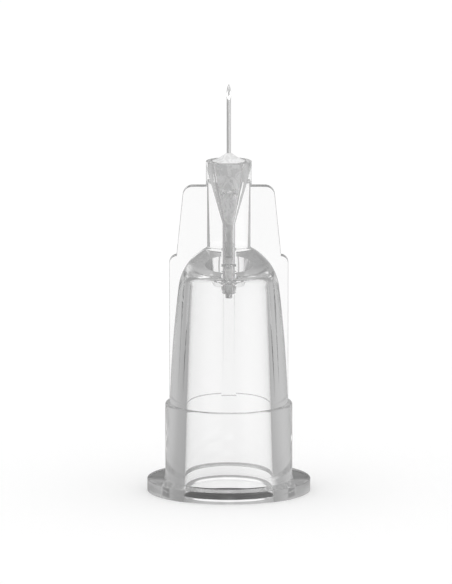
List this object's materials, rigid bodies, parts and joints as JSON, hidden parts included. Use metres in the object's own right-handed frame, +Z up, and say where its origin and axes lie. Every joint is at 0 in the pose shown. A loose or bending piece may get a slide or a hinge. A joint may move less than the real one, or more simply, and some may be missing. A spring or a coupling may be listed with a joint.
{
  "type": "aesthetic injection needle",
  "caption": "Fine short injection needle in a clear winged taper hub with a round flange, set in cured glue.",
  "frame": {"origin": "centre of the flange's underside, the face that the needle stands on", "axes": "+Z up the cannula towards its point, -Y towards the open side of the bevel, fins along X and Y"},
  "size_m": [0.0078, 0.0078, 0.0196],
  "materials": {
    "clear_plastic": "clear, smooth moulded polypropylene with a faint grey tint",
    "stainless_steel": "drawn and polished tube with a ground point",
    "cured_glue": "milky cured resin with fine swirls"
  },
  "bodies": {
    "root": {"hub": "clear_plastic", "cannula": "stainless_steel", "adhesive_plug": "cured_glue"}
  },
  "joints": []
}
